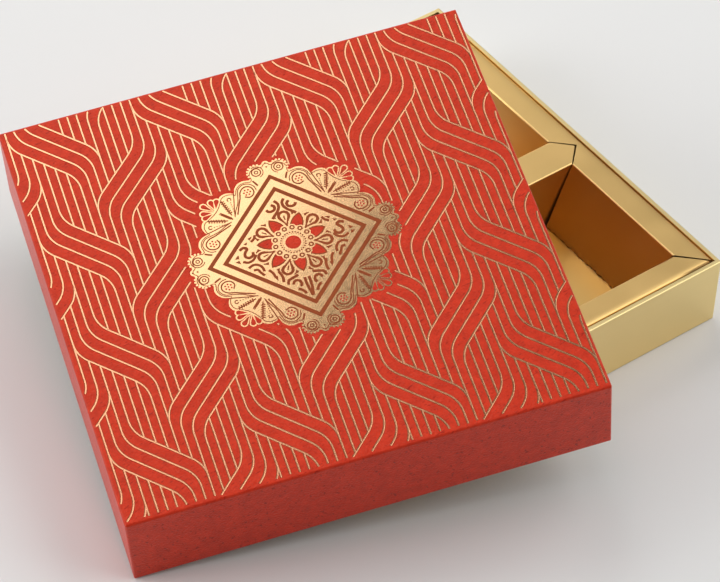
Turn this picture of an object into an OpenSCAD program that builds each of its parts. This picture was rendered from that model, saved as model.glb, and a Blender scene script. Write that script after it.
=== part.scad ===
// Sweet box: a rigid tray with a folded card insert, and a lift-off lid that leans on the tray.
// The origin is the centre of the tray's underside. X is the tray's width and Y its depth.

/* [Tray] */
// Outer width of the tray
tray_w = 194.5; // [150:0.5:260]
// Outer depth of the tray
tray_d = 194.5; // [150:0.5:260]
// Height of the tray
tray_h = 34; // [26:0.5:50]
// How far the wrapping paper is turned in over the rim
tray_turn_in = 15; // [8:1:18]
// Width of the wrapping paper's flaps under the tray
tray_under_flap = 14; // [8:1:25]
// Radius of the tray's upright corners
tray_corner_r = 0.8; // [0.6:0.1:1.5]
// Radius of the paper where it folds over the rim
rim_fold_r = 0.5; // [0.4:0.05:0.6]

/* [Board and paper] */
// Thickness of the grey board
board_t = 1.5; // [1:0.1:2.5]
// Thickness of the wrapping and lining papers
paper_t = 0.2; // [0.12:0.01:0.25]
// Thickness of the gummed tape over each board corner
stay_t = 0.15; // [0.1:0.01:0.2]
// Length of each leg of the corner tape
stay_leg = 16; // [10:1:25]
// How far the corner tape stops short of the board's edges
stay_margin = 3; // [1:0.5:5]
// Slit between two board walls at a corner
board_slit = 0.1; // [0.05:0.01:0.2]
// Radius of the tray board's folds along the floor
tray_fold_r = 0.5; // [0.4:0.1:0.8]
// How far the sheet under the tray stops short of its edge
base_sheet_margin = 4; // [2:0.5:7]

/* [Card insert] */
// Thickness of the gold card
card_t = 0.5; // [0.4:0.05:0.8]
// Radius of the card's folds, at the middle of its thickness
card_fold_r = 0.55; // [0.45:0.05:0.8]
// Clearance between the insert and the tray on each side
insert_gap = 0.8; // [0.3:0.05:1]
// Clearance between the insert and the tray's floor
seat_gap = 0.3; // [0.2:0.05:0.5]
// How far the insert's platform lies below the rim
platform_drop = 0.4; // [0.2:0.1:4]
// Width of the platform along each side
platform_w = 11.4; // [10:0.1:18]
// How far the foot of a side's inner flap leans into the pocket
flap_lean = 12; // [4:0.5:16]
// Gap between the foot of an inner flap and the card floor
flap_gap = 0.6; // [0.4:0.1:1.5]
// Width of the glued flange at the foot of a folded strip
flange_w = 6; // [4:0.5:7]
// Gap along each mitre of the platform
mitre_gap = 0.5; // [0.3:0.05:0.8]
// Width of a divider
divider_w = 16.2; // [12:0.1:18]
// Clearance between a divider's walls and the flaps beside them
divider_gap = 0.3; // [0.2:0.05:0.5]
// How far a divider's tongues stop short of the fold along its top
tongue_drop = 0.3; // [0.2:0.05:0.6]
// Distance from a divider's tongue to the flange of the side strip
tongue_gap = 0.8; // [0.5:0.1:1.5]
// How far the crossing of the dividers lies to the right of the centre
crossing_x = 6.8; // [-12:0.2:12]
// How far the crossing of the dividers lies behind the centre
crossing_y = 0; // [-12:0.2:12]

/* [Lid] */
// Clearance between the lid's lining and the tray on each side
lid_gap = 0.5; // [0.4:0.05:1.5]
// Free height between the tray's rim and the closed lid
lid_headroom = 4.6; // [0:0.1:6]
// How far the wrapping paper is turned in at the lid's skirt
lid_turn_in = 18; // [10:1:22]
// How far the lid's lining stops short of the skirt's edge
lining_margin = 6; // [3:0.5:12]
// Radius of the lid's upright corners and of its top edges
lid_edge_r = 1; // [0.6:0.1:1.5]
// Radius of the paper where it folds round the skirt's edge
skirt_fold_r = 0.5; // [0.4:0.05:0.6]

/* [How the lid lies] */
// Direction, seen from above, of the line between the two points on the rim
rest_line_turn = 28.6; // [24:0.2:34]
// Distance between those two points along the lid's own depth
rest_along_lid = 165.2; // [154:0.2:175]
// Where the lid meets the left rim, in front of the tray's centre
rest_front = 93; // [75:1:94]
// Gap between the lid's skirt and the rim under it
rest_gap = 0.3; // [0.2:0.05:0.5]
// Gap between the lid's lowest corner and the table
table_gap = 0.3; // [0.2:0.05:0.5]

/* [Hidden] */
$fn = 32;
eps = 0.01;

// Tray, from the outside in
tray_shell = paper_t + stay_t;
board_w = tray_w - 2 * tray_shell;
board_d = tray_d - 2 * tray_shell;
board_in_w = board_w - 2 * board_t;
board_in_d = board_d - 2 * board_t;
tray_in_w = board_in_w - 2 * paper_t;
tray_in_d = board_in_d - 2 * paper_t;
tray_board_z = 2 * paper_t;
tray_board_h = tray_h - paper_t - tray_board_z;
tray_floor_z = tray_board_z + board_t;
tray_lining_z = tray_floor_z + paper_t;
tray_board_r = tray_corner_r - tray_shell;

// Card insert
insert_w = tray_in_w - 2 * insert_gap;
insert_d = tray_in_d - 2 * insert_gap;
insert_z = tray_lining_z + seat_gap;
strip_z = insert_z + card_t;
strip_h = tray_h - platform_drop - strip_z;
divider_half = divider_w / 2;
pocket_edge_x = insert_w / 2 - platform_w;
pocket_edge_y = insert_d / 2 - platform_w;
tongue_len = platform_w - flange_w - tongue_gap;
tongue_foot = card_fold_r + card_t / 2;
strip_reach = platform_w + flap_lean + card_t;

// Lid, from the outside in
lid_wall = paper_t + stay_t + board_t + 2 * paper_t;
lid_top = 2 * paper_t + board_t;
lid_in_w = tray_w + 2 * lid_gap;
lid_in_d = tray_d + 2 * lid_gap;
lid_w = lid_in_w + 2 * lid_wall;
lid_d = lid_in_d + 2 * lid_wall;
lid_h = tray_h + lid_headroom + lid_top;
lid_board_w = lid_w - 2 * (paper_t + stay_t);
lid_board_d = lid_d - 2 * (paper_t + stay_t);
lid_board_z = paper_t;
lid_board_h = lid_h - 2 * paper_t;
lid_board_r = lid_edge_r - paper_t - stay_t;

// The lid rests on the left and right rims and, at its front right corner, on the table.
rest_chord = tray_w / cos(rest_line_turn);
rest_line_on_lid = acos(rest_along_lid / rest_chord);
rest_reach = (lid_in_d + lid_wall) * sin(rest_line_on_lid)
           + (lid_in_w + lid_wall) * cos(rest_line_on_lid)
           - rest_chord * sin(rest_line_on_lid) * cos(rest_line_on_lid);
lid_tilt = asin((tray_h + rest_gap - table_gap) / rest_reach);

module gold_paper() color([0.83, 0.68, 0.38]) children();
module gold_card() color([0.78, 0.62, 0.32]) children();
module red_paper() color([0.84, 0.24, 0.19]) children();
module grey_board() color([0.60, 0.58, 0.54]) children();
module plain_paper() color([0.90, 0.87, 0.80]) children();
module kraft_tape() color([0.72, 0.58, 0.42]) children();

// Rectangle with rounded corners, centred
module plan(w, d, r) {
    square([w - 2 * r, d], center = true);
    square([w, d - 2 * r], center = true);
    for (x = [-1, 1], y = [-1, 1])
        translate([x * (w / 2 - r), y * (d / 2 - r)]) circle(r);
}

// Outline of a block seen from one side, with a radius on its top and its bottom edges
module side_view(w, h, top_r, bottom_r) {
    translate([-w / 2 + top_r, h / 2]) square([w - 2 * top_r, h / 2]);
    translate([-w / 2, h / 2 - eps]) square([w, h / 2 - top_r + eps]);
    translate([-w / 2 + bottom_r, 0]) square([w - 2 * bottom_r, h / 2 + eps]);
    translate([-w / 2, bottom_r]) square([w, h / 2 - bottom_r]);
    for (x = [-1, 1]) {
        translate([x * (w / 2 - top_r), h - top_r]) circle(top_r);
        translate([x * (w / 2 - bottom_r), bottom_r]) circle(bottom_r);
    }
}

// Block whose edges are all rounded, standing on z = 0
module soft_block(w, d, h, corner_r, top_r, bottom_r) {
    intersection() {
        linear_extrude(h) plan(w, d, corner_r);
        translate([0, d / 2, 0]) rotate([90, 0, 0])
            linear_extrude(d) side_view(w, h, top_r, bottom_r);
        translate([-w / 2, 0, 0]) rotate([90, 0, 90])
            linear_extrude(w) side_view(d, h, top_r, bottom_r);
    }
}

// Square-edged block, standing on z = 0
module block(w, d, h) translate([-w / 2, -d / 2, 0]) cube([w, d, h]);

// Walls and floor of a scored board, folded up, with a slit where two walls meet
module folded_board(w, d, h, corner_r, edge_r, fold_r) {
    difference() {
        soft_block(w, d, h, corner_r, edge_r, fold_r);
        translate([0, 0, board_t]) block(w - 2 * board_t, d - 2 * board_t, h);
        for (x = [-1, 1], y = [-1, 1])
            translate([x * (w - board_t) / 2, y * (d / 2 - board_t - board_slit / 2), board_t])
                block(board_t + 2 * board_slit, board_slit, h);
    }
}

// Gummed tape folded round one upright board corner; x and y say which corner
module corner_tape(w, d, h, corner_r, x, y) {
    linear_extrude(h) intersection() {
        difference() {
            plan(w + 2 * stay_t, d + 2 * stay_t, corner_r + stay_t);
            plan(w, d, corner_r);
        }
        translate([x * (w / 2 + stay_t - stay_leg / 2), y * (d / 2 + stay_t - stay_leg / 2)])
            square(stay_leg, center = true);
    }
}

// Ring with straight walls; the hole is given by its own size
module ring(w, d, h, hole_w, hole_d) {
    difference() {
        block(w, d, h);
        translate([0, 0, -eps]) block(hole_w, hole_d, h + 2 * eps);
    }
}

module tray_board() {
    grey_board() translate([0, 0, tray_board_z])
        folded_board(board_w, board_d, tray_board_h, tray_board_r,
                     rim_fold_r - paper_t, tray_fold_r);
}

// One sheet: under-flaps, four sides, the rim and the turned-in edge
module tray_wrap() {
    cover_h = tray_h - paper_t;
    gold_paper() union() {
        difference() {
            translate([0, 0, paper_t])
                soft_block(tray_w, tray_d, cover_h, tray_corner_r, rim_fold_r, rim_fold_r);
            translate([0, 0, tray_board_z])
                soft_block(tray_w - 2 * paper_t, tray_d - 2 * paper_t, tray_board_h,
                           tray_corner_r - paper_t, rim_fold_r - paper_t, rim_fold_r - paper_t);
            translate([0, 0, tray_h / 2]) block(tray_in_w, tray_in_d, tray_h);
            block(tray_w - 2 * tray_under_flap, tray_d - 2 * tray_under_flap, tray_h / 2);
        }
        translate([0, 0, tray_h - paper_t - tray_turn_in])
            ring(board_in_w, board_in_d, tray_turn_in + eps, tray_in_w, tray_in_d);
    }
}

module tray_lining() {
    plain_paper() translate([0, 0, tray_floor_z])
        block(board_in_w - 2 * paper_t, board_in_d - 2 * paper_t, paper_t);
}

module tray_base_sheet() {
    gold_paper() linear_extrude(paper_t)
        plan(tray_w - 2 * base_sheet_margin, tray_d - 2 * base_sheet_margin, tray_corner_r);
}

module tray_stay(x, y) {
    kraft_tape() translate([0, 0, tray_board_z + stay_margin])
        corner_tape(board_w, board_d, tray_board_h - 2 * stay_margin, tray_board_r, x, y);
}

module insert_floor() {
    gold_card() translate([0, 0, insert_z]) block(insert_w, insert_d, card_t);
}

// Unit vector from one point towards another
function towards(from, to) = (to - from) / norm(to - from);

// Half the angle between the two stretches of card that meet at a corner
function half_angle(before, corner, after) =
    acos(towards(corner, before) * towards(corner, after)) / 2;

// Where the flat stretch from one corner to the next begins: past the fold at its start
function past_fold(before, corner, after) =
    corner + towards(corner, after) * card_fold_r / tan(half_angle(before, corner, after));

// Rounded fold of the card at a corner
module card_fold(before, corner, after) {
    inward = towards(corner, before) + towards(corner, after);
    centre = corner
           + inward / norm(inward) * card_fold_r / sin(half_angle(before, corner, after));
    wide = 1 + card_t / card_fold_r;
    intersection() {
        translate(centre) difference() {
            circle(card_fold_r + card_t / 2);
            circle(card_fold_r - card_t / 2);
        }
        polygon([
            centre,
            centre + wide * (past_fold(after, corner, before) - centre),
            centre + wide * (corner - centre),
            centre + wide * (past_fold(before, corner, after) - centre)
        ]);
    }
}

// Card folded along a line of points: flat stretches with a rounded fold between them
module folded_card(points) {
    last = len(points) - 1;
    for (i = [0 : last - 1]) {
        start = i == 0 ? points[0] : past_fold(points[i - 1], points[i], points[i + 1]);
        end = i == last - 1 ? points[last]
                            : past_fold(points[i + 2], points[i + 1], points[i]);
        before = i == 0 ? 0 : eps;
        after = i == last - 1 ? 0 : eps;
        run = end - start;
        translate(start) rotate(atan2(run.y, run.x))
            translate([-before, -card_t / 2]) square([before + norm(run) + after, card_t]);
    }
    for (i = [1 : last - 1]) card_fold(points[i - 1], points[i], points[i + 1]);
}

// Section of a side strip: flange, outer wall, platform and leaning inner flap
module strip_section() {
    h = card_t / 2;
    folded_card([
        [flange_w, h],
        [h, h],
        [h, strip_h - h],
        [platform_w - h, strip_h - h],
        [platform_w - h + flap_lean, flap_gap + h]
    ]);
}

// Side strip along X, with its outer wall at y = 0 and mitred ends. A divider's point fits
// the notch in the platform at x = notch_x, and its tongues pass the slot in the flap.
module side_strip(length, notch_x) {
    slant = mitre_gap * sqrt(2);
    end = length / 2 - slant / 2;
    difference() {
        intersection() {
            translate([-length / 2, 0, 0]) rotate([90, 0, 90])
                linear_extrude(length) strip_section();
            linear_extrude(strip_h) polygon([
                [-end, 0], [end, 0], [end - strip_reach, strip_reach], [strip_reach - end, strip_reach]
            ]);
        }
        translate([notch_x, platform_w - divider_half - slant, -eps])
            linear_extrude(strip_h + 2 * eps) polygon([
                [0, 0],
                [divider_half + slant, divider_half + slant],
                [-divider_half - slant, divider_half + slant]
            ]);
        translate([notch_x - divider_half - divider_gap, platform_w - card_t, -eps])
            cube([divider_w + 2 * divider_gap, strip_reach, strip_h + 2 * eps]);
    }
}

module insert_strip_front() {
    gold_card() translate([0, -insert_d / 2, strip_z]) side_strip(insert_w, crossing_x);
}

module insert_strip_back() {
    gold_card() translate([0, insert_d / 2, strip_z]) rotate(180)
        side_strip(insert_w, -crossing_x);
}

module insert_strip_left() {
    gold_card() translate([-insert_w / 2, 0, strip_z]) rotate(-90)
        side_strip(insert_d, -crossing_y);
}

module insert_strip_right() {
    gold_card() translate([insert_w / 2, 0, strip_z]) rotate(90)
        side_strip(insert_d, crossing_y);
}

// Section of a divider: a channel with two walls and a glued flange at the foot of each
module divider_section() {
    h = card_t / 2;
    wall = divider_half - h;
    foot = wall - flange_w + h;
    folded_card([
        [-foot, h], [-wall, h], [-wall, strip_h - h], [wall, strip_h - h], [wall, h], [foot, h]
    ]);
}

// Half divider along +Y, from the pocket's edge at y = 0 to the crossing at y = length.
// Its top is cut to a point at both ends, and two tongues reach under the side strip.
module divider(length) {
    slant = mitre_gap / sqrt(2);
    intersection() {
        translate([0, length, 0]) rotate([90, 0, 0])
            linear_extrude(length + divider_half) divider_section();
        linear_extrude(strip_h) polygon([
            [0, -divider_half],
            [divider_half, 0],
            [divider_half, length - divider_half - slant],
            [0, length - slant],
            [-divider_half, length - divider_half - slant],
            [-divider_half, 0]
        ]);
    }
    for (x = [-divider_half, divider_half - card_t])
        translate([x, -tongue_len, tongue_foot])
            cube([card_t, tongue_len + eps, strip_h - 2 * tongue_foot - tongue_drop]);
}

module divider_front() {
    gold_card() translate([crossing_x, -pocket_edge_y, strip_z])
        divider(pocket_edge_y + crossing_y);
}

module divider_back() {
    gold_card() translate([crossing_x, pocket_edge_y, strip_z]) rotate(180)
        divider(pocket_edge_y - crossing_y);
}

module divider_left() {
    gold_card() translate([-pocket_edge_x, crossing_y, strip_z]) rotate(-90)
        divider(pocket_edge_x + crossing_x);
}

module divider_right() {
    gold_card() translate([pocket_edge_x, crossing_y, strip_z]) rotate(90)
        divider(pocket_edge_x - crossing_x);
}

// Puts the lid, modelled with its skirt's edge on z = 0, where it leans on the tray
module lean_lid() {
    translate([-tray_w / 2, -rest_front, tray_h + rest_gap])
        rotate([0, 0, rest_line_turn])
            rotate([lid_tilt, 0, 0])
                rotate([0, 0, rest_line_on_lid - 90])
                    translate([lid_in_w / 2, rest_along_lid - lid_in_d / 2, 0])
                        children();
}

module lid_board() {
    grey_board() lean_lid() translate([0, 0, lid_board_z + lid_board_h]) mirror([0, 0, 1])
        folded_board(lid_board_w, lid_board_d, lid_board_h, lid_board_r,
                     skirt_fold_r - paper_t, lid_edge_r - paper_t);
}

// One sheet: the top, four sides, the skirt's edge and the turned-in edge
module lid_wrap() {
    in_w = lid_in_w + 2 * paper_t;
    in_d = lid_in_d + 2 * paper_t;
    red_paper() lean_lid() union() {
        difference() {
            soft_block(lid_w, lid_d, lid_h, lid_edge_r, lid_edge_r, skirt_fold_r);
            translate([0, 0, paper_t])
                soft_block(lid_w - 2 * paper_t, lid_d - 2 * paper_t, lid_board_h,
                           lid_edge_r - paper_t, lid_edge_r - paper_t, skirt_fold_r - paper_t);
            translate([0, 0, -eps]) block(in_w, in_d, lid_h / 2);
        }
        translate([0, 0, paper_t - eps])
            ring(in_w + 2 * paper_t, in_d + 2 * paper_t, lid_turn_in, in_w, in_d);
    }
}

module lid_lining() {
    in_w = lid_in_w + 2 * paper_t;
    in_d = lid_in_d + 2 * paper_t;
    plain_paper() lean_lid() translate([0, 0, lining_margin]) difference() {
        block(in_w, in_d, lid_h - lid_top + paper_t - lining_margin);
        translate([0, 0, -eps]) block(lid_in_w, lid_in_d, lid_h - lid_top - lining_margin + eps);
    }
}

module lid_stay(x, y) {
    kraft_tape() lean_lid() translate([0, 0, lid_board_z + stay_margin])
        corner_tape(lid_board_w, lid_board_d, lid_board_h - 2 * stay_margin, lid_board_r, x, y);
}

tray_board();
tray_wrap();
tray_lining();
tray_base_sheet();
tray_stay(-1, -1);  // tray_stay_front_left
tray_stay(1, -1);  // tray_stay_front_right
tray_stay(-1, 1);  // tray_stay_back_left
tray_stay(1, 1);  // tray_stay_back_right
insert_floor();
insert_strip_front();
insert_strip_back();
insert_strip_left();
insert_strip_right();
divider_front();
divider_back();
divider_left();
divider_right();
lid_board();
lid_wrap();
lid_lining();
lid_stay(-1, -1);  // lid_stay_front_left
lid_stay(1, -1);  // lid_stay_front_right
lid_stay(-1, 1);  // lid_stay_back_left
lid_stay(1, 1);  // lid_stay_back_right
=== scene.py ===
import math
import random

import bmesh
import bpy
from mathutils import Matrix, Vector


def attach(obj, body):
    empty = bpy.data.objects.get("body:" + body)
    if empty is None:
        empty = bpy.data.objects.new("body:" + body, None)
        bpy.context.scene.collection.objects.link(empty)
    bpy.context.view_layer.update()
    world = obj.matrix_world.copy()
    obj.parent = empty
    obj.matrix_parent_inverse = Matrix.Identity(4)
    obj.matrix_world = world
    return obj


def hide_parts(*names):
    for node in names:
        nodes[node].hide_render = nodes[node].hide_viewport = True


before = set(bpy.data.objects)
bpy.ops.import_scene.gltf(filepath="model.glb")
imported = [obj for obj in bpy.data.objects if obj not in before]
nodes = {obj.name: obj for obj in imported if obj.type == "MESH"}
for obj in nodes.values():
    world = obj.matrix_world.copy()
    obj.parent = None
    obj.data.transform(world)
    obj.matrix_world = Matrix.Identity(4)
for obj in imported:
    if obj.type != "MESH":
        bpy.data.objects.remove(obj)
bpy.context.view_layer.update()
scene = bpy.context.scene


# Camera. It stands off the box's front right corner and looks down at 45 degrees with a
# long lens, turned a little about its own axis as in the photograph.

camera_data = bpy.data.cameras.new("camera")
camera_data.sensor_fit = "HORIZONTAL"
camera_data.sensor_width = 36.0
camera_data.lens = 196.99
camera_data.clip_start = 0.1
camera_data.clip_end = 20.0
camera = bpy.data.objects.new("camera", camera_data)
scene.collection.objects.link(camera)
scene.camera = camera
camera_place = Vector((0.9136, -0.7620, 1.1950))
camera_target = Vector((0.0141, -0.0295, 0.0200))
camera.matrix_world = (
    Matrix.Translation(camera_place)
    @ (camera_target - camera_place).to_track_quat("-Z", "Y").to_matrix().to_4x4()
    @ Matrix.Rotation(math.radians(3.232), 4, "Z")
)


# Floor and light. A pale table top, with a low pale sheet behind it that only the gold
# reflects, under plain studio light: a very wide soft box on the left with a narrow one
# above it, a large one behind on the right, and weak ones in front and overhead.

scene.view_settings.view_transform = "Standard"


def shader_node(tree, kind, inputs=None, **settings):
    """Adds a node; inputs gives a socket a number, a colour or another node's output."""
    made = tree.nodes.new("ShaderNode" + kind)
    for name, value in settings.items():
        setattr(made, name, value)
    for socket, value in (inputs or {}).items():
        if isinstance(value, bpy.types.NodeSocket):
            tree.links.new(value, made.inputs[socket])
        else:
            made.inputs[socket].default_value = value
    return made


def material(name, **sockets):
    """A new material with these values on its Principled shader; returns it and its tree."""
    paint = bpy.data.materials.new(name)
    paint.use_nodes = True
    shader = paint.node_tree.nodes["Principled BSDF"]
    for socket, value in sockets.items():
        shader.inputs[socket.replace("_", " ")].default_value = value
    return paint, paint.node_tree, shader


floor_mesh = bpy.data.meshes.new("floor")
bm = bmesh.new()
bmesh.ops.create_grid(bm, x_segments=1, y_segments=1, size=6.0)
bm.to_mesh(floor_mesh)
bm.free()
floor = bpy.data.objects.new("floor", floor_mesh)
scene.collection.objects.link(floor)
floor_paint, _, _ = material("pale floor", Base_Color=(0.80, 0.80, 0.79, 1.0), Roughness=0.7)
floor_mesh.materials.append(floor_paint)

backdrop_mesh = bpy.data.meshes.new("backdrop")
bm = bmesh.new()
bmesh.ops.create_grid(bm, x_segments=1, y_segments=1, size=0.5)
bm.transform(
    Matrix.Rotation(math.radians(30), 4, "Z") @ Matrix.Translation((0.0, 1.9, 0.35))
    @ Matrix.Rotation(math.radians(90), 4, "X") @ Matrix.Diagonal((1.6, 0.7, 1.0, 1.0))
)
bm.to_mesh(backdrop_mesh)
bm.free()
backdrop = bpy.data.objects.new("backdrop", backdrop_mesh)
scene.collection.objects.link(backdrop)
backdrop.visible_camera = False
backdrop.visible_diffuse = False
backdrop.visible_shadow = False
backdrop_mesh.materials.append(floor_paint)

world = bpy.data.worlds.new("studio")
scene.world = world
world.use_nodes = True
world.node_tree.nodes["Background"].inputs["Color"].default_value = (1.0, 1.0, 1.0, 1.0)
world.node_tree.nodes["Background"].inputs["Strength"].default_value = 0.10


def soft_box(name, azimuth, elevation, distance, width, height, power, turn=0.0):
    """A rectangular lamp that faces the box from a direction given in degrees."""
    a, e = math.radians(azimuth), math.radians(elevation)
    lamp = bpy.data.lights.new(name, "AREA")
    lamp.shape = "RECTANGLE"
    lamp.size = width
    lamp.size_y = height
    lamp.energy = power
    holder = bpy.data.objects.new(name, lamp)
    away = Vector((math.cos(e) * math.cos(a), math.cos(e) * math.sin(a), math.sin(e)))
    aim = Vector((0.02, -0.03, 0.04))
    holder.matrix_world = (
        Matrix.Translation(aim + away * distance)
        @ away.to_track_quat("Z", "Y").to_matrix().to_4x4()
        @ Matrix.Rotation(math.radians(turn), 4, "Z")
    )
    scene.collection.objects.link(holder)
    return holder


soft_box("wide soft box", 196, 34, 2.1, 4.5, 2.1, 40)
soft_box("upper soft box", 167, 58.5, 2.34, 1.3, 0.57, 3.7, turn=37)
soft_box("back soft box", 60, 46, 2.4, 3.2, 2.3, 42)
soft_box("front soft box", -115, 25, 2.6, 1.6, 1.2, 19)
soft_box("overhead soft box", -61, 78, 2.4, 1.4, 1.4, 4.6)


# Grey board. The walls and floor of both halves are cut from 1.5 mm grey board, scored,
# folded up and butted at the corners. It shows only where no paper covers it.


def group(name, inputs, outputs):
    """An empty node group with number inputs and outputs, given as names and values."""
    made = bpy.data.node_groups.new(name, "ShaderNodeTree")
    for label, value in inputs.items():
        socket = made.interface.new_socket(label, in_out="INPUT", socket_type="NodeSocketFloat")
        socket.default_value = value
    for label in outputs:
        made.interface.new_socket(label, in_out="OUTPUT", socket_type="NodeSocketFloat")
    return made, made.nodes.new("NodeGroupInput"), made.nodes.new("NodeGroupOutput")


def maths(tree, operation, a, b, c=0.0, clamp=False):
    """The output of one Math node."""
    return shader_node(
        tree, "Math", {0: a, 1: b, 2: c}, operation=operation, use_clamp=clamp
    ).outputs[0]


# Pulp: short fibres lying every way, cloudy tone and a fine tooth, as in all papers
pulp, pulp_in, pulp_out = group(
    "pulp", {"Fibre density": 1.0, "Cloud size": 60.0, "Tooth size": 1200.0},
    ("Fibre", "Cloud", "Tooth"),
)
place = shader_node(pulp, "TexCoord").outputs["Object"]
fibres = []
for turn in ((0.3, 0.2, 0.4), (0.9, -0.5, 1.5), (-0.6, 1.1, 2.4)):
    lie = shader_node(
        pulp, "Mapping", {"Vector": place, "Rotation": turn, "Scale": (1500.0, 330.0, 420.0)}
    ).outputs[0]
    fibres.append(
        shader_node(pulp, "TexNoise", {"Vector": lie, "Scale": 1.0, "Detail": 1.0}).outputs[0]
    )
most = maths(pulp, "MAXIMUM", maths(pulp, "MAXIMUM", fibres[0], fibres[1]), fibres[2])
start = maths(pulp, "MULTIPLY_ADD", pulp_in.outputs[0], -0.06, 0.74)
pulp.links.new(
    shader_node(
        pulp, "MapRange", {"Value": most, "From Min": start, "From Max": 0.80},
        interpolation_type="SMOOTHSTEP",
    ).outputs[0],
    pulp_out.inputs["Fibre"],
)
for socket, size, detail in (("Cloud", 1, 3.0), ("Tooth", 2, 2.0)):
    noise = shader_node(
        pulp, "TexNoise", {"Vector": place, "Scale": pulp_in.outputs[size], "Detail": detail}
    )
    spread = shader_node(
        pulp, "MapRange", {"Value": noise.outputs[0], "From Min": 0.3, "From Max": 0.7}
    )
    pulp.links.new(spread.outputs[0], pulp_out.inputs[socket])


def paper(name, light, dark, fibre=0.5, cloud=0.4, tooth_height=0.00003, density=1.0,
          cloud_size=60.0, tooth_size=1200.0, **sockets):
    """A paper or board whose colour runs from light to dark with its fibres and clouds."""
    paint, tree, shader = material(name, **sockets)
    made = shader_node(
        tree, "Group",
        {"Fibre density": density, "Cloud size": cloud_size, "Tooth size": tooth_size},
        node_tree=pulp,
    )
    shade = maths(tree, "MULTIPLY", made.outputs["Fibre"], fibre)
    shade = maths(tree, "MULTIPLY_ADD", made.outputs["Cloud"], cloud, shade)
    shade = maths(tree, "MULTIPLY_ADD", made.outputs["Tooth"], cloud * 0.6, shade, clamp=True)
    mix = shader_node(
        tree, "Mix", {0: shade, 6: (*light, 1.0), 7: (*dark, 1.0)}, data_type="RGBA"
    )
    tree.links.new(mix.outputs[2], shader.inputs["Base Color"])
    bump = shader_node(
        tree, "Bump", {"Height": made.outputs["Tooth"], "Distance": tooth_height}
    )
    tree.links.new(bump.outputs[0], shader.inputs["Normal"])
    return paint


def paint_nodes(paint, *names):
    """Gives the named CAD nodes a material."""
    for name in names:
        nodes[name].data.materials.clear()
        nodes[name].data.materials.append(paint)


grey_board = paper(
    "grey board", (0.45, 0.42, 0.37), (0.22, 0.20, 0.17),
    fibre=0.5, cloud=0.7, density=1.6, Roughness=0.85,
)
paint_nodes(grey_board, "tray_board", "lid_board")


# Corner tape. A strip of gummed kraft paper is folded round each upright corner and holds
# the two board walls together under the wrapping paper.

kraft = paper(
    "gummed kraft tape", (0.52, 0.36, 0.21), (0.30, 0.18, 0.09),
    fibre=0.4, cloud=0.5, cloud_size=180.0, Roughness=0.7,
)
corners = ("front_left", "front_right", "back_left", "back_right")
paint_nodes(kraft, *("tray_stay_" + c for c in corners), *("lid_stay_" + c for c in corners))


# Lining papers. Cream sheets cover the tray's floor and the inside of the lid.

lining = paper(
    "cream lining paper", (0.84, 0.80, 0.71), (0.66, 0.60, 0.50),
    fibre=0.25, cloud=0.35, Roughness=0.65,
)
paint_nodes(lining, "tray_lining", "lid_lining")


# Gold paper on the tray. One sheet of metallic paper wraps the walls, the rim and the
# turned-in edge; a second sheet covers the flaps under the tray.

satin, satin_in, satin_out = group(
    "satin", {"Grain size": 2500.0, "Cloud size": 35.0}, ("Grain", "Cloud")
)
place = shader_node(satin, "TexCoord").outputs["Object"]
for socket, size, detail in (("Grain", 0, 1.0), ("Cloud", 1, 3.0)):
    noise = shader_node(
        satin, "TexNoise", {"Vector": place, "Scale": satin_in.outputs[size], "Detail": detail}
    )
    satin.links.new(noise.outputs[0], satin_out.inputs[socket])


def gold(name, light, dark, smooth, rough, grain_height, grain_size=2500.0, cloud_size=35.0,
         **sockets):
    """A metallic gold surface with a fine grain and a slightly uneven sheen."""
    paint, tree, shader = material(name, Metallic=1.0, **sockets)
    made = shader_node(
        tree, "Group", {"Grain size": grain_size, "Cloud size": cloud_size}, node_tree=satin
    )
    mix = shader_node(
        tree, "Mix", {0: made.outputs["Cloud"], 6: (*dark, 1.0), 7: (*light, 1.0)},
        data_type="RGBA",
    )
    tree.links.new(mix.outputs[2], shader.inputs["Base Color"])
    sheen = shader_node(
        tree, "MapRange",
        {"Value": made.outputs["Cloud"], "From Min": 0.3, "From Max": 0.7,
         "To Min": smooth, "To Max": rough},
    )
    tree.links.new(sheen.outputs[0], shader.inputs["Roughness"])
    bump = shader_node(
        tree, "Bump", {"Height": made.outputs["Grain"], "Distance": grain_height}
    )
    tree.links.new(bump.outputs[0], shader.inputs["Normal"])
    return paint


gold_wrap = gold(
    "satin gold paper", (0.94, 0.75, 0.37), (0.87, 0.67, 0.30), 0.34, 0.42, 0.00001
)
paint_nodes(gold_wrap, "tray_wrap", "tray_base_sheet")


# Card insert. Four mitred side strips and four pointed dividers, folded from thin gold
# card, stand glued on a loose card floor and make the four pockets.

gold_card = gold(
    "satin gold card", (0.88, 0.60, 0.24), (0.80, 0.52, 0.19), 0.34, 0.42, 0.00001
)
sides = ("front", "back", "left", "right")
paint_nodes(
    gold_card, *("insert_strip_" + s for s in sides), *("divider_" + s for s in sides)
)
# The floor card is a darker copy of the gold card: painted shade for the floors deep in the pockets.
shaded_floor_card = gold(
    "satin gold floor card in painted shade", (0.78, 0.53, 0.20), (0.71, 0.47, 0.16), 0.34, 0.42, 0.00001
)
paint_nodes(shaded_floor_card, "insert_floor")


# Side strips of the insert. Folded card springs open a little: the platforms are crowned,
# the outer flaps lean on the tray or away from it, the mitres gape towards the pockets,
# and the feet of the inner flaps are roughly cut. Each strip stands for its CAD node.

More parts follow.
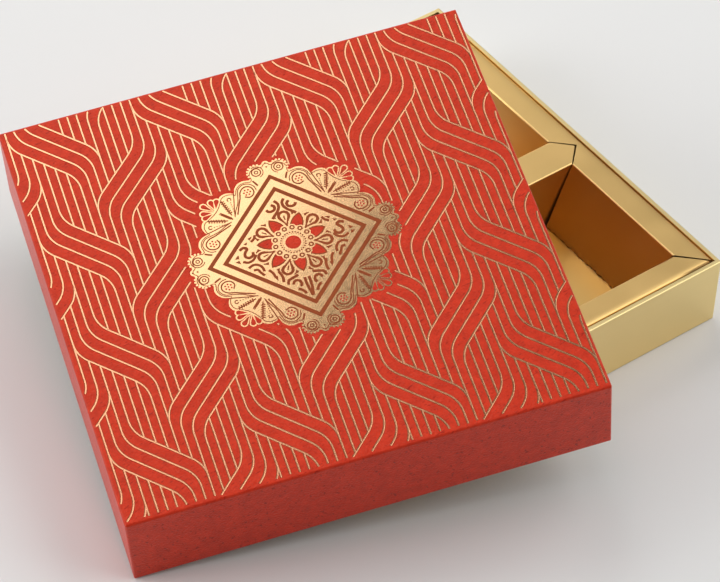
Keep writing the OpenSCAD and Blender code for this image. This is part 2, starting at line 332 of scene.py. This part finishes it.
strip_floor, strip_top, fold_line, outer_face = 0.0029, 0.0336, 0.083, 0.0944
mitre_gape, notch_gape, notch_half = 0.00035, 0.0008, 0.0082
cut = random.Random(5)
for side, lean, crown, notch in (
    ("front", 0.0002, 0.0003, 0.0068), ("back", 0.0006, 0.0002, 0.0068),
    ("left", 0.0002, 0.0003, 0.0), ("right", -0.0004, 0.0006, 0.0),
):
    across, along = (1, 0) if side in ("front", "back") else (0, 1)
    sign = -1 if side in ("front", "left") else 1
    mesh = nodes["insert_strip_" + side].data.copy()
    bm = bmesh.new()
    bm.from_mesh(mesh)
    bmesh.ops.remove_doubles(bm, verts=bm.verts, dist=0.000002)
    bmesh.ops.dissolve_limit(bm, angle_limit=0.001, verts=bm.verts, edges=bm.edges)
    for axis, places in (
        (across, [sign * (0.0890 + 0.0006 * i) for i in range(8)]),
        (2, [0.0052]),
        (along, [-0.07 + 0.0014 * i for i in range(101)]),
    ):
        normal = Vector((axis == 0, axis == 1, axis == 2))
        for place in places:
            bmesh.ops.bisect_plane(
                bm, geom=bm.verts[:] + bm.edges[:] + bm.faces[:], dist=0.000002,
                plane_co=normal * place, plane_no=normal,
            )
    steps = {}
    for v in bm.verts:
        out, rise = v.co[across] * sign, (v.co.z - strip_floor) / (strip_top - strip_floor)
        place = v.co[along]
        t = min(max((out - fold_line) / (outer_face - fold_line), 0.0), 1.0)
        if rise > 0.9:
            v.co.z -= crown * t ** 8
        if rise < 0.05 and out < 0.073:
            key = round(place / 0.0007)
            if key not in steps:
                steps[key] = (cut.uniform(-0.00095, -0.0001), cut.uniform(-0.0004, 0.0004))
            v.co.z = max(v.co.z + steps[key][0], strip_floor + 0.00005)
            v.co[across] += sign * steps[key][1]
        v.co[across] += sign * lean * t
        if abs(place) > 0.0706:
            v.co[along] -= math.copysign(mitre_gape * (1 - t) * max(rise, 0.0), place)
        off = place - notch
        if out < 0.0835 and notch_half - 0.0002 < abs(off) < notch_half + 0.0008:
            v.co[along] += math.copysign(notch_gape * (1 - max(rise, 0.0)), off)
    bm.to_mesh(mesh)
    bm.free()
    strip = bpy.data.objects.new("strip_" + side, mesh)
    scene.collection.objects.link(strip)
    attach(strip, "insert")
    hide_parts("insert_strip_" + side)


# Red paper on the lid. One sheet of matt handmade paper, finely embossed all over, wraps
# the top and the skirt and is turned in along the skirt's edge.

red_paper = paper(
    "red handmade paper", (0.73, 0.041, 0.014), (0.36, 0.011, 0.005),
    fibre=0.7, cloud=0.34, cloud_size=240.0, tooth_height=0.00009, tooth_size=1150.0,
    density=1.4, Roughness=0.32, Specular_IOR_Level=0.31, Specular_Tint=(1.0, 0.74, 0.52, 1.0),
)
paint_nodes(red_paper, "lid_wrap")


# Foil medallion. A hot-stamped gold medallion in the middle of the lid's top: a flower in
# a double diamond frame, with a lace border of rosettes, paisleys and leaves. Where the
# paper shows in fine pressed lines, its colour is painted dark as shade between the foil.

tray_w, lid_in_w, lid_top_z = 0.1945, 0.1955, 0.0405
rest_line_turn, rest_along_lid, rest_front, rest_z = math.radians(28.6), 0.1652, 0.093, 0.0343
rest_chord = tray_w / math.cos(rest_line_turn)
rest_line_on_lid = math.acos(rest_along_lid / rest_chord)
rest_reach = (
    (lid_in_w + 0.00225) * (math.sin(rest_line_on_lid) + math.cos(rest_line_on_lid))
    - rest_chord * math.sin(rest_line_on_lid) * math.cos(rest_line_on_lid)
)
lid_place = (
    Matrix.Translation((-tray_w / 2, -rest_front, rest_z))
    @ Matrix.Rotation(rest_line_turn, 4, "Z")
    @ Matrix.Rotation(math.asin(0.034 / rest_reach), 4, "X")
    @ Matrix.Rotation(rest_line_on_lid - math.pi / 2, 4, "Z")
    @ Matrix.Translation((lid_in_w / 2, rest_along_lid - lid_in_w / 2, lid_top_z))
)


gold_foil = gold(
    "bright gold foil", (0.98, 0.60, 0.31), (0.94, 0.55, 0.27), 0.11, 0.15, 0.000009,
    grain_size=2200.0, cloud_size=300.0,
)
# Dark red paper for the medallion's fine lines and the bands beside the foil lines: the red paper with
# painted shade of the pressed lines and grooves.
pressed_line_shade = paper(
    "red paper in painted shade", (0.36, 0.075, 0.018), (0.24, 0.045, 0.012),
    fibre=0.4, cloud=0.4, Roughness=0.6, Specular_IOR_Level=0.15,
)


def arc(u, v, r, start, end, steps):
    """Points on part of a circle; angles in degrees."""
    return [
        (u + r * math.cos(math.radians(start + (end - start) * i / steps)),
         v + r * math.sin(math.radians(start + (end - start) * i / steps)))
        for i in range(steps + 1)
    ]


def smooth(points, steps=5):
    """A smooth line through the points."""
    p = [points[0], *points, points[-1]]
    line = [points[0]]
    for i in range(1, len(p) - 2):
        for s in range(1, steps + 1):
            t = s / steps
            line.append(tuple(
                0.5 * (2 * b + (c - a) * t + (2 * a - 5 * b + 4 * c - d) * t * t
                       + (3 * b - a - 3 * c + d) * t ** 3)
                for a, b, c, d in zip(p[i - 1], p[i], p[i + 1], p[i + 2])
            ))
    return line


def turned(points, degrees, flip=1, about=(0.0, 0.0)):
    """Points mirrored left to right if flip is -1, then turned about a centre."""
    c, s = math.cos(math.radians(degrees)), math.sin(math.radians(degrees))
    return [
        (about[0] + c * flip * u - s * v, about[1] + s * flip * u + c * v) for u, v in points
    ]


def drop(foot, tip, width, steps=12):
    """Outline of a drop on the v axis: pointed at its foot and round at its tip."""
    centre = tip - width
    open_angle = math.degrees(math.acos(width / (centre - foot)))
    return [(0.0, foot)] + arc(0.0, centre, width, open_angle - 90, 270 - open_angle, steps)


def petal(middle, length, width, steps=8):
    """Outline of a petal on the v axis: two arcs that meet in points, half sizes given."""
    r = (length * length + width * width) / (2 * width)
    half = math.degrees(math.asin(length / r))
    right = arc(width - r, middle, r, -half, half, steps)
    return right + [(-u, v) for u, v in right[-2:0:-1]]


layers = []


def lay(ink, *outlines):
    """Lays flat shapes of one ink over all that is laid before."""
    layers.append((ink, outlines, None))


def draw(ink, width, *lines):
    """Draws lines of one ink and width over all that is laid before."""
    layers.append((ink, lines, width))


def eightfold(points):
    return [turned(points, 90 * k, flip) for k in range(4) for flip in (1, -1)]


def diamond(size):
    return [(size, 0.0), (0.0, size), (-size, 0.0), (0.0, -size)]


# Lace border: the same eighth eight times, from the axis to the diagonal
eighth = [
    (0.0, 44.3), (1.0, 44.0), (1.6, 43.1), (2.6, 42.9), (4.8, 43.3), (7.0, 42.3), (8.2, 40.2),
    (7.9, 38.2), (8.5, 37.0), (10.0, 37.2), (11.7, 37.4), (14.0, 36.6), (15.7, 34.6),
    (16.4, 32.4), (17.6, 33.1), (20.1, 33.7), (22.6, 32.7), (24.0, 30.4), (25.4, 28.0),
]
whole = []
for quarter in range(4):
    right = turned(eighth, -90 * quarter)
    left = turned([(v, u) for u, v in eighth[::-1]], -90 * quarter)
    whole += right + left[:-1]
lay("gold", smooth(whole + whole[:1], 2)[:-1])
draw("dark", 0.3, smooth([(u * 0.972, v * 0.972) for u, v in whole + whole[:1]], 2))
lobes = [
    turned(shape, angle - 90, 1, (26.0, 26.0))
    for angle in (-18, 8, 45, 82, 108)
    for shape in [drop(0.4, 7.6 if angle == 45 else 6.9, 1.6)]
]
hearts = [
    turned(shape, angle - 90, 1, (26.0, 26.0))
    for angle in (-18, 8, 45, 82, 108)
    for shape in [drop(1.6, 7.0 if angle == 45 else 6.3, 1.05)]
]
lay("gold", *[turned(s, 90 * k) for s in lobes for k in range(4)])
lay("red", *[turned(s, 90 * k) for s in hearts for k in range(4)])
draw("dark", 0.3, *[turned([(28.0, 28.0), (29.6, 29.6)], 90 * k) for k in range(4)])
beads = [arc(4.8 + 3.7 * math.cos(a), 39.8 + 3.7 * math.sin(a), 0.5, 0, 330, 7)
         for a in (math.radians(d) for d in range(-20, 130, 22))]
lay("gold", *[s for b in beads for s in eightfold(b)])
draw("dark", 0.42, *eightfold(arc(4.8, 39.8, 1.9, 0, 360, 16)))
draw("dark", 0.36, *eightfold(arc(4.8, 39.8, 0.75, 0, 360, 10)))
draw("dark", 0.30, *eightfold(arc(4.8, 39.8, 2.9, 60, 250, 12)))
lay("dark", *[turned(arc(0, v, 0.42, 0, 315, 7), 90 * k) for v in (41.2, 43.2) for k in range(4)])
draw("dark", 0.6, *eightfold(smooth([(7.4, 36.1), (6.6, 34.6), (6.0, 33.2)])))
draw("dark", 0.32, *eightfold(smooth([
    (19.2, 21.2), (17.9, 24.3), (16.2, 27.4), (15.2, 31.0), (14.4, 33.8), (12.0, 35.6),
    (9.4, 35.2), (7.6, 33.4), (7.2, 31.2)])))
draw("dark", 0.45, *eightfold(smooth([
    (17.8, 21.9), (16.0, 26.4), (14.7, 29.4), (13.8, 32.4), (11.8, 34.2), (9.5, 33.8),
    (8.4, 32.0), (8.7, 29.9), (10.6, 28.7), (12.6, 29.5)])))
lay("red", *[s for k in range(6) for s in eightfold(
    arc(11.1 + 1.35 * math.cos(k * math.pi / 3), 31.4 + 1.35 * math.sin(k * math.pi / 3),
        0.42, 0, 315, 7))])
lay("red", *eightfold(arc(11.1, 31.4, 0.4, 0, 315, 7)))
draw("dark", 0.35, *eightfold(smooth([(16.6, 32.6), (17.4, 29.0), (18.4, 25.0), (19.0, 21.6)])))
ribs = [[(22.3 - 0.30 * i, 29.8 - 1.02 * i), (22.3 - 0.30 * i + side * 0.9, 29.4 - 1.02 * i + 0.75)]
        for i in range(7) for side in (-1, 1)]
draw("dark", 0.42, *[s for r in ribs for s in eightfold(r)])
draw("dark", 0.4, *eightfold([(22.6, 30.6), (20.2, 22.4)]))
draw("dark", 0.34, *eightfold(arc(19.2, 30.2, 0.8, -60, 230, 9)))
dots = [arc(18.95 - 0.02 * i, 28.6 - 1.1 * i, 0.26, 0, 300, 5) for i in range(6)]
lay("dark", *[s for d in dots for s in eightfold(d)])
draw("dark", 0.5, *[turned([(20.3, 20.3), (24.3, 24.3)], 90 * k) for k in range(4)])
draw("dark", 0.3, *eightfold(smooth([(24.6, 25.0), (23.0, 23.6), (20.6, 21.2)])))

# Diamond frames
for ink, size in (("dark", 37.1), ("gold", 34.7), ("dark", 30.6), ("gold", 28.1)):
    lay(ink, diamond(size))

# Flower: its centre lies a little behind the middle
flower = (-0.3, 1.4)
petals = [180 + 360 * k / 7 for k in range(7)]
gaps = [360 * k / 7 for k in range(7)]


def bloom(outline, angles):
    return [turned(outline, a, 1, flower) for a in angles]


lay("dark", *bloom([(3.0, 8.0), (5.9, 13.4), (4.4, 14.2), (3.4, 15.6), (2.4, 15.6), (-2.4, 15.6),
                   (-3.4, 15.6), (-4.4, 14.2), (-5.9, 13.4), (-3.0, 8.0)], gaps))
lay("gold", *bloom(drop(6.5, 17.2, 3.35), gaps))
lay("dark", *bloom(drop(7.3, 16.5, 2.75), gaps))
lay("gold", *bloom(drop(9.8, 15.2, 1.45), gaps))
draw("dark", 0.45, *bloom([(0.0, 11.6), (0.0, 13.9)], gaps))
lay("gold", *bloom(petal(9.4, 7.2, 3.6), petals))
lay("dark", *bloom(petal(9.2, 5.9, 2.75), petals))
lay("red", *bloom(petal(9.2, 5.0, 2.2), petals))
lay("gold", arc(*flower, 8.3, 0, 351, 40))
lay("gold", *[arc(flower[0] + 7.4 * math.sin(a), flower[1] + 7.4 * math.cos(a), 1.7, 0, 330, 12)
              for a in (math.pi * (2 * k + 1) / 14 for k in range(14))])
draw("dark", 0.5, *[arc(flower[0] + 7.4 * math.sin(a), flower[1] + 7.4 * math.cos(a), 0.85, 0, 360, 10)
                     for a in (math.pi * (2 * k + 1) / 14 for k in range(14))])
lay("dark", *[arc(flower[0] + 5.1 * math.sin(a), flower[1] + 5.1 * math.cos(a), 0.40, 0, 300, 5)
              for a in (math.pi * k / 14 for k in range(28))])
lay("dark", *[arc(flower[0] + 4.4 * math.sin(a), flower[1] + 4.4 * math.cos(a), 0.22, 0, 300, 5)
              for a in (math.pi * (k + 0.5) / 14 for k in range(28))])
lay("red", arc(*flower, 3.25, 0, 345, 24))


def both(points):
    """The line and its mirror image, left and right."""
    return [points, [(-u, v) for u, v in points]]


# Scrolls in the diamond's corners
draw("dark", 0.95,
     *both(smooth([(2.1, 23.6), (1.0, 22.0), (1.0, 20.0), (2.2, 17.9), (3.9, 16.3), (5.0, 15.0)])),
     *both(smooth([(3.8, 22.0), (2.7, 21.0), (2.9, 19.5), (4.3, 18.8), (5.7, 19.2), (6.2, 20.2)])))
draw("dark", 0.9,
     *both(smooth([(0.9, -16.6), (0.9, -20.0), (0.5, -23.4), (0.1, -26.0)])),
     *both(smooth([(6.2, -18.6), (5.2, -17.1), (3.5, -17.3), (2.8, -19.0), (3.4, -20.4)])),
     *both(smooth([(4.9, -21.2), (3.4, -22.3), (2.3, -24.3)])),
     *both(smooth([(8.0, -18.0), (7.4, -16.1), (5.2, -15.3), (3.0, -14.6)])),
     *both(smooth([(10.0, -10.4), (9.2, -13.6), (9.5, -16.2)])))
draw("dark", 0.95,
     *both(smooth([(22.2, 4.4), (20.4, 5.2), (19.1, 4.2), (20.2, 2.8), (20.8, 1.0), (19.4, -0.3),
                   (17.6, 0.5), (17.3, 2.0)])))
draw("dark", 0.85,
     *both(smooth([(22.4, -1.4), (20.2, -2.4), (17.9, -1.6), (16.4, 0.4)])),
     *both(smooth([(21.0, -5.2), (19.0, -4.2), (16.9, -4.8), (15.6, -6.6), (15.4, -8.6)])),
     *both(smooth([(19.4, -6.8), (17.8, -7.0), (16.9, -8.8), (15.8, -10.6)])),
     *both(smooth([(13.6, -8.6), (12.4, -10.6), (12.0, -12.6)])),
     *both(smooth([(14.2, 9.8), (15.0, 8.2), (16.6, 7.0)])))
lay("dark", *both([(17.6, 9.0), (15.4, 9.6), (16.8, 7.9)]),
    *both([(19.8, 6.9), (18.0, 7.5), (18.9, 6.0)]),
    *both([(25.2, 0.9), (23.2, 2.4), (23.4, 0.4)]), *both([(25.4, -0.7), (23.6, -0.4), (23.4, -2.2)]),
    *both([(12.6, -12.6), (10.9, -12.4), (11.4, -14.9)]))


def swept(lines, profile, closed):
    """A mesh swept along lines, each given by its lift, its half width and its points."""
    section = bpy.data.curves.new("section", "CURVE")
    spline = section.splines.new("POLY")
    spline.points.add(len(profile) - 1)
    for point, (across, up) in zip(spline.points, profile):
        point.co = (across, up, 0.0, 1.0)
    spline.use_cyclic_u = closed
    section_object = bpy.data.objects.new("section", section)
    sweep = bpy.data.curves.new("sweep", "CURVE")
    sweep.dimensions = "3D"
    sweep.twist_mode = "Z_UP"
    sweep.bevel_mode = "OBJECT"
    sweep.bevel_object = section_object
    sweep.use_fill_caps = closed
    for lift, half, line in lines:
        spline = sweep.splines.new("POLY")
        spline.points.add(len(line) - 1)
        for point, (x, y) in zip(spline.points, line):
            point.co = (x, y, lift, 1.0)
            point.radius = half
    carrier = bpy.data.objects.new("sweep", sweep)
    scene.collection.objects.link(carrier)
    bpy.context.view_layer.update()
    mesh = bpy.data.meshes.new_from_object(
        carrier.evaluated_get(bpy.context.evaluated_depsgraph_get())
    )
    bpy.data.objects.remove(carrier)
    bpy.data.objects.remove(section_object)
    return mesh


def stamp(name, mesh, shapes, place, paint, closed=False):
    """Adds flat shapes to a swept mesh, in millimetres, and puts the piece on the lid."""
    bm = bmesh.new()
    bm.from_mesh(mesh)
    for lift, outline in shapes:
        bmesh.ops.contextual_create(bm, geom=[bm.verts.new((x, y, lift)) for x, y in outline])
    bm.normal_update()
    if closed:
        bmesh.ops.remove_doubles(bm, verts=bm.verts, dist=0.00001)
        bmesh.ops.recalc_face_normals(bm, faces=bm.faces)
        for face in bm.faces:
            face.smooth = False
    else:
        bmesh.ops.reverse_faces(bm, faces=[f for f in bm.faces if f.normal.z < 0.0])
    bm.transform(place @ Matrix.Scale(0.001, 4))
    bm.to_mesh(mesh)
    bm.free()
    mesh.name = name
    mesh.materials.clear()
    mesh.materials.append(paint)
    piece = bpy.data.objects.new(name, mesh)
    scene.collection.objects.link(piece)
    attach(piece, "lid")
    return piece


flat = ((-1.0, 0.0), (1.0, 0.0))
medallion_place = (
    lid_place @ Matrix.Translation((-0.0060, 0.00086, 0.0)) @ Matrix.Rotation(math.pi / 2, 4, "Z")
)
# The dark ink carries painted shade: the red paper darkened where it lies in fine pressed lines.
inks = {
    "gold": ("lid_medallion_foil", gold_foil, "gold_foil"),
    "red": ("lid_medallion_paper", red_paper, "red_wrap"),
    "dark": ("lid_medallion_lines", pressed_line_shade, "red_wrap"),
}
for ink, (name, paint, slot) in inks.items():
    lines, shapes = [], []
    for height, (used, parts, width) in enumerate(layers):
        if used == ink:
            for i, part in enumerate(parts):
                lift = 0.02 + 0.003 * height + 0.0004 * (i % 5)
                if width is None:
                    shapes.append((lift, part))
                else:
                    lines.append((lift, width * 0.66, part))
    mesh = swept(lines, flat, False) if lines else bpy.data.meshes.new(name)
    stamp(name, mesh, shapes, medallion_place, paint)


# Foil line pattern. Hot-stamped gold foil lines, pressed a little into the red paper of
# the lid's top: a lattice of interlaced bands, each of four lines, over upright lines.

pitch = 3.837
cell = 14
turn_radius = 3.5
tangent = turn_radius * math.tan(math.radians(22.5))
left_edge, back_edge = -96.86, -91.43


def bend(x0, y0, side):
    """A band line in pitches: down a column, across six columns, and down again."""
    line = [(x0, y0 - tangent)]
    for step in range(1, 9):
        a = math.radians(45.0 * step / 8)
        line.append((x0 + side * turn_radius * (1 - math.cos(a)),
                     y0 - tangent + turn_radius * math.sin(a)))
    x1, y1 = x0 + side * 6, y0 + 6
    for step in range(8, -1, -1):
        a = math.radians(45.0 * step / 8)
        line.append((x1 - side * turn_radius * (1 - math.cos(a)),
                     y1 + tangent - turn_radius * math.sin(a)))
    return line


def hidden_stretches(k):
    """Where a band lies over column k, in pitches within one repeat."""
    found = []
    if 0 <= k <= 9:
        top, bottom = min(3, k), max(0, k - 6)
        if top != bottom:
            found.append((k + 0.27 - 2 * top - (tangent if k == top else 0.0),
                          k + 0.27 - 2 * bottom + (tangent if k == bottom + 6 else 0.0)))
    for column in (k, k + cell):
        if 7 <= column <= 16:
            top, bottom = max(0, column - 13), min(3, column - 7)
            if top != bottom:
                found.append((17.04 + 2 * top - column - (tangent if column == 13 + top else 0.0),
                              17.04 + 2 * bottom - column
                              + (tangent if column == 7 + bottom else 0.0)))
    return found


def open_stretches(k):
    """The rest of column k over one repeat, as pairs of start and end."""
    cuts = sorted((a % cell, (a % cell) + b - a) for a, b in hidden_stretches(k))
    return [
        (cuts[i][1], cuts[i + 1][0] if i + 1 < len(cuts) else cuts[0][0] + cell)
        for i in range(len(cuts))
    ]


pattern = []
for i in range(-1, 5):
    for j in range(-1, 5):
        at = (i * cell, j * cell)
        for line in range(4):
            for x0, y0, side in ((line - 0.13, 0.27 - line, 1), (12.87 + line, 4.04 + line, -1)):
                pattern.append([(x + at[0], y + at[1]) for x, y in bend(x0, y0, side)])
        for k in range(cell):
            for a, b in open_stretches(k):
                if b - a > 0.05:
                    pattern.append([(k - 0.13 + at[0], a + at[1]), (k - 0.13 + at[0], b + at[1])])

edge = [(math.degrees(math.atan2(min(u, v), max(u, v))), math.hypot(u, v)) for u, v in eighth]
edge = sorted(e for e in edge if e[0] < 37) + [(39.0, 42.0), (45.0, 44.6)]


def clear_of_medallion(x, y):
    """True where a foil line may lie: two millimetres or more outside the lace."""
    u, v = y - 0.86, -6.0 - x
    a = math.degrees(math.atan2(min(abs(u), abs(v)), max(abs(u), abs(v))))
    for (a0, r0), (a1, r1) in zip(edge, edge[1:]):
        if a0 <= a <= a1:
            return math.hypot(u, v) > r0 + (r1 - r0) * (a - a0) / max(a1 - a0, 0.01) + 2.0
    return True


def visible_runs(line):
    """Cuts a line, in pitches, to the lid's printed field; gives runs in millimetres."""
    points = [(back_edge + pitch * y, left_edge + pitch * x) for x, y in line]
    dense = [points[0]]
    for p, q in zip(points, points[1:]):
        steps = max(1, math.ceil(math.dist(p, q) / 0.4))
        dense += [(p[0] + (q[0] - p[0]) * s / steps, p[1] + (q[1] - p[1]) * s / steps)
                  for s in range(1, steps + 1)]
    runs, run = [], []
    for p in dense:
        printed = -99.1 < p[0] < 98.2 and -98.9 < p[1] < 99.0
        if printed and clear_of_medallion(*p):
            run.append(p)
        else:
            runs.append(run)
            run = []
    runs.append(run)
    kept = []
    for run in runs:
        if len(run) < 4:
            continue
        slim = [run[0]]
        for i in range(1, len(run) - 1):
            a, b, c = slim[-1], run[i], run[i + 1]
            bent = (b[0] - a[0]) * (c[1] - b[1]) - (b[1] - a[1]) * (c[0] - b[0])
            if abs(bent) > 0.004 * math.dist(a, b) * math.dist(b, c):
                slim.append(b)
        kept.append(slim + [run[-1]])
    return kept


runs = [run for line in pattern for run in visible_runs(line)]
line_foil = gold(
    "gold foil of the lines", (0.97, 0.48, 0.27), (0.92, 0.43, 0.23), 0.20, 0.26, 0.000012,
    grain_size=2200.0, cloud_size=300.0,
)
trough = ((-1.0, 0.0), (-1.0, 0.15), (-0.6, 0.11), (0.6, 0.11), (1.0, 0.15), (1.0, 0.0))
# Under each foil line lies a wider band of darker red: painted shade of the groove the line is pressed
# into.
stamp(
    "lid_line_shade_bands",
    swept([(0.006 + i % 7 * 0.0006, 0.52, run) for i, run in enumerate(runs)], flat, False),
    [], lid_place, pressed_line_shade,
)
stamp(
    "lid_foil_lines",
    swept([(i % 7 * 0.0006, 0.32, run) for i, run in enumerate(runs)], trough, True),
    [], lid_place, line_foil, closed=True,
)
